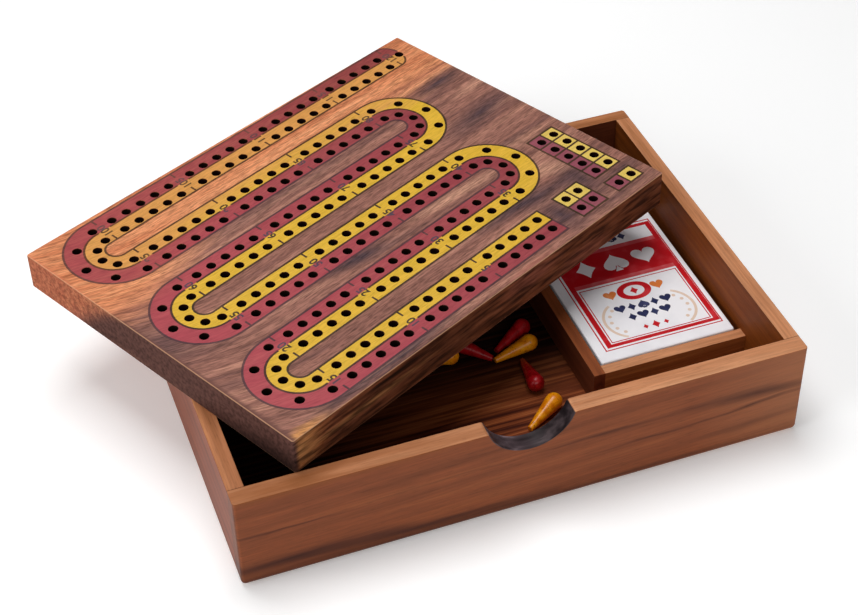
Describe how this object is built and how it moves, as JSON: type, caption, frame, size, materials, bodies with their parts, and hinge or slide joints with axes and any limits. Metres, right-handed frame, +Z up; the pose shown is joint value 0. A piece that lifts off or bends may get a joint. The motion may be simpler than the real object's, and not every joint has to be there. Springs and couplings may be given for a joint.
{
  "type": "cribbage box",
  "caption": "Open wooden cribbage box with a card pocket, a card pack and drop-shaped pegs. Its thick lid, drilled with a winding two-lane track, lies turned across the rim.",
  "frame": {"origin": "centre of the box's underside, midway between its outer faces", "axes": "+X to the right along the front wall, +Y from the notched front wall to the back wall, +Z up"},
  "size_m": [0.297, 0.2606, 0.066],
  "materials": {
    "box_wood": "clear satin on red-brown hardwood",
    "floor_wood": "dark stained panel",
    "lid_wood": "clear satin on streaky hardwood, printed lanes",
    "carton": "coated board, printed",
    "cards": "smooth coated card",
    "red_peg": "gloss paint on turned wood",
    "yellow_peg": "gloss paint on turned wood"
  },
  "bodies": {
    "box": {"front_wall": "box_wood", "back_wall": "box_wood", "left_wall": "box_wood", "right_wall": "box_wood", "floor_panel": "floor_wood", "divider_side": "box_wood", "divider_front": "box_wood", "divider_back": "box_wood", "corner_rest_front_left": "box_wood", "corner_rest_front_right": "box_wood", "corner_rest_back_left": "box_wood", "corner_rest_back_right": "box_wood"},
    "lid": {"lid_board": "lid_wood"},
    "card_pack": {"tuck_box": "carton", "tuck_flap": "carton", "playing_cards": "cards"},
    "red_peg_1_body": {"red_peg_1": "red_peg"},
    "red_peg_2_body": {"red_peg_2": "red_peg"},
    "red_peg_3_body": {"red_peg_3": "red_peg"},
    "yellow_peg_1_body": {"yellow_peg_1": "yellow_peg"},
    "yellow_peg_2_body": {"yellow_peg_2": "yellow_peg"},
    "yellow_peg_3_body": {"yellow_peg_3": "yellow_peg"}
  },
  "joints": [
    {"name": "lid_lift", "type": "slide", "parent": "box", "child": "lid", "axis": [0, 0, 1], "range_m": [0, 0.09]},
    {"name": "pack_lift", "type": "slide", "parent": "box", "child": "card_pack", "axis": [0, 0, 1], "range_m": [0, 0.021]},
    {"name": "red_peg_1_lift", "type": "slide", "parent": "box", "child": "red_peg_1_body", "axis": [0, 0, 1], "range_m": [0, 0.03]},
    {"name": "red_peg_2_lift", "type": "slide", "parent": "box", "child": "red_peg_2_body", "axis": [0, 0, 1], "range_m": [0, 0.03]},
    {"name": "red_peg_3_lift", "type": "slide", "parent": "box", "child": "red_peg_3_body", "axis": [0, 0, 1], "range_m": [0, 0.03]},
    {"name": "yellow_peg_1_lift", "type": "slide", "parent": "box", "child": "yellow_peg_1_body", "axis": [0, 0, 1], "range_m": [0, 0.08]},
    {"name": "yellow_peg_2_lift", "type": "slide", "parent": "box", "child": "yellow_peg_2_body", "axis": [0, 0, 1], "range_m": [0, 0.03]},
    {"name": "yellow_peg_3_lift", "type": "slide", "parent": "box", "child": "yellow_peg_3_body", "axis": [0, 0, 1], "range_m": [0, 0.03]}
  ]
}
